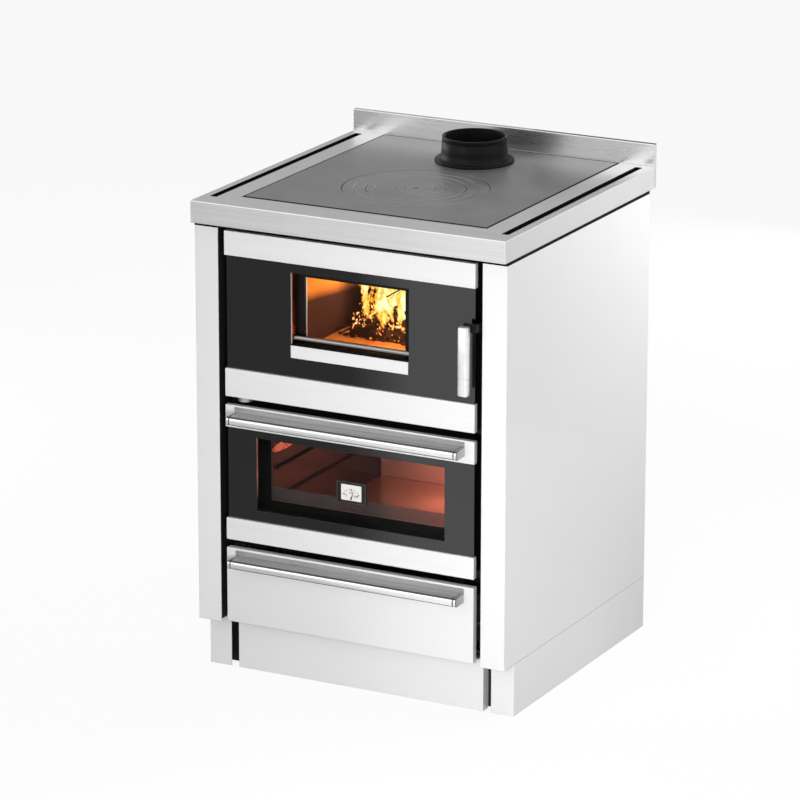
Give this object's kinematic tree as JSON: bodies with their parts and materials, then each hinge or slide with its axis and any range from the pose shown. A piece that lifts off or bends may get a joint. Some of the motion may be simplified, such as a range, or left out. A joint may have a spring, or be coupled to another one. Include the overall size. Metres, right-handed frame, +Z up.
{
  "type": "wood cookstove",
  "caption": "Freestanding wood-fired cookstove with a glazed fire door, a drop-down oven door, a wood drawer, a hob plate with lift-out ring and lid, and a top flue collar.",
  "frame": {"origin": "on the floor, midway between the front of the handles and the back of the upstand, on the middle plane", "axes": "+Z up, +X to the right as seen from the front, the doors face -Y"},
  "size_m": [0.6, 0.622, 0.896],
  "materials": {
    "brushed_steel": "brushed along the length",
    "front_panel": "satin",
    "white_paint": "gloss",
    "black_steel": "matt",
    "cast_iron": "satin black",
    "hob_plate": "satin grey",
    "black_glass": "polished, black printed",
    "clear_glass": "polished",
    "firebrick": "matt, sooted",
    "rope_seal": "woven",
    "galvanized": "zinc coated",
    "dial": "satin",
    "foot_rubber": "matt"
  },
  "bodies": {
    "carcass": {"worktop_frame": "brushed_steel", "backsplash": "brushed_steel", "cooktop_plate": "hob_plate", "flue_collar": "cast_iron", "side_panel_left": "white_paint", "side_panel_right": "white_paint", "plinth_left": "white_paint", "plinth_right": "white_paint", "plinth_front": "white_paint", "back_panel": "galvanized", "base_plate": "black_steel", "foot_front_left": "foot_rubber", "foot_front_right": "foot_rubber", "foot_rear_left": "foot_rubber", "foot_rear_right": "foot_rubber", "front_frame": "black_steel", "firebox_shell": "black_steel", "brick_left": "firebrick", "brick_right": "firebrick", "brick_back": "firebrick", "hearth": "firebrick", "grate": "cast_iron", "ash_pan": "galvanized", "oven_box": "black_steel", "oven_rack": "galvanized", "drawer_runner_left": "galvanized", "drawer_runner_right": "galvanized", "oven_hinge_left": "galvanized", "oven_hinge_right": "galvanized", "fire_hinge_lower": "galvanized", "fire_hinge_upper": "galvanized", "latch_keeper": "black_steel"},
    "ring": {"hob_ring": "hob_plate"},
    "lid": {"hob_lid": "hob_plate"},
    "fire_door": {"fire_door_frame": "cast_iron", "fire_door_panel": "black_glass", "fire_door_glass": "clear_glass", "fire_door_seal": "rope_seal", "fire_door_top_strip": "brushed_steel", "fire_door_bottom_strip": "brushed_steel", "fire_window_sill": "brushed_steel", "fire_window_bar": "brushed_steel"},
    "door_latch": {"fire_door_handle": "brushed_steel", "latch_lever": "black_steel"},
    "oven_door": {"oven_door_frame": "black_steel", "oven_door_panel": "black_glass", "oven_door_window": "clear_glass", "oven_inner_glass": "clear_glass", "oven_door_seal": "rope_seal", "oven_door_top_strip": "brushed_steel", "oven_door_bottom_strip": "brushed_steel", "oven_thermometer": "dial", "oven_handle": "brushed_steel", "oven_handle_cap_left": "brushed_steel", "oven_handle_cap_right": "brushed_steel"},
    "wood_drawer": {"drawer_front": "front_panel", "drawer_tray": "black_steel", "drawer_handle": "brushed_steel", "drawer_handle_cap_left": "brushed_steel", "drawer_handle_cap_right": "brushed_steel"}
  },
  "joints": [
    {"name": "fire_door_hinge", "type": "hinge", "parent": "carcass", "child": "fire_door", "pos_m": [-0.21, -0.261, 0.655], "axis": [0, 0, -1], "range_deg": [0, 100]},
    {"name": "latch_pull", "type": "hinge", "parent": "fire_door", "child": "door_latch", "pos_m": [0.246, -0.255, 0.694], "axis": [-1, 0, 0], "range_deg": [0, 22]},
    {"name": "oven_door_hinge", "type": "hinge", "parent": "carcass", "child": "oven_door", "pos_m": [0, -0.261, 0.257], "axis": [1, 0, 0], "range_deg": [0, 88]},
    {"name": "drawer_slide", "type": "slide", "parent": "carcass", "child": "wood_drawer", "axis": [0, -1, 0], "range_m": [0, 0.38]},
    {"name": "ring_lift", "type": "slide", "parent": "carcass", "child": "ring", "axis": [0, 0, 1], "range_m": [0, 0.15]},
    {"name": "lid_lift", "type": "slide", "parent": "ring", "child": "lid", "axis": [0, 0, 1], "range_m": [0, 0.12]}
  ]
}
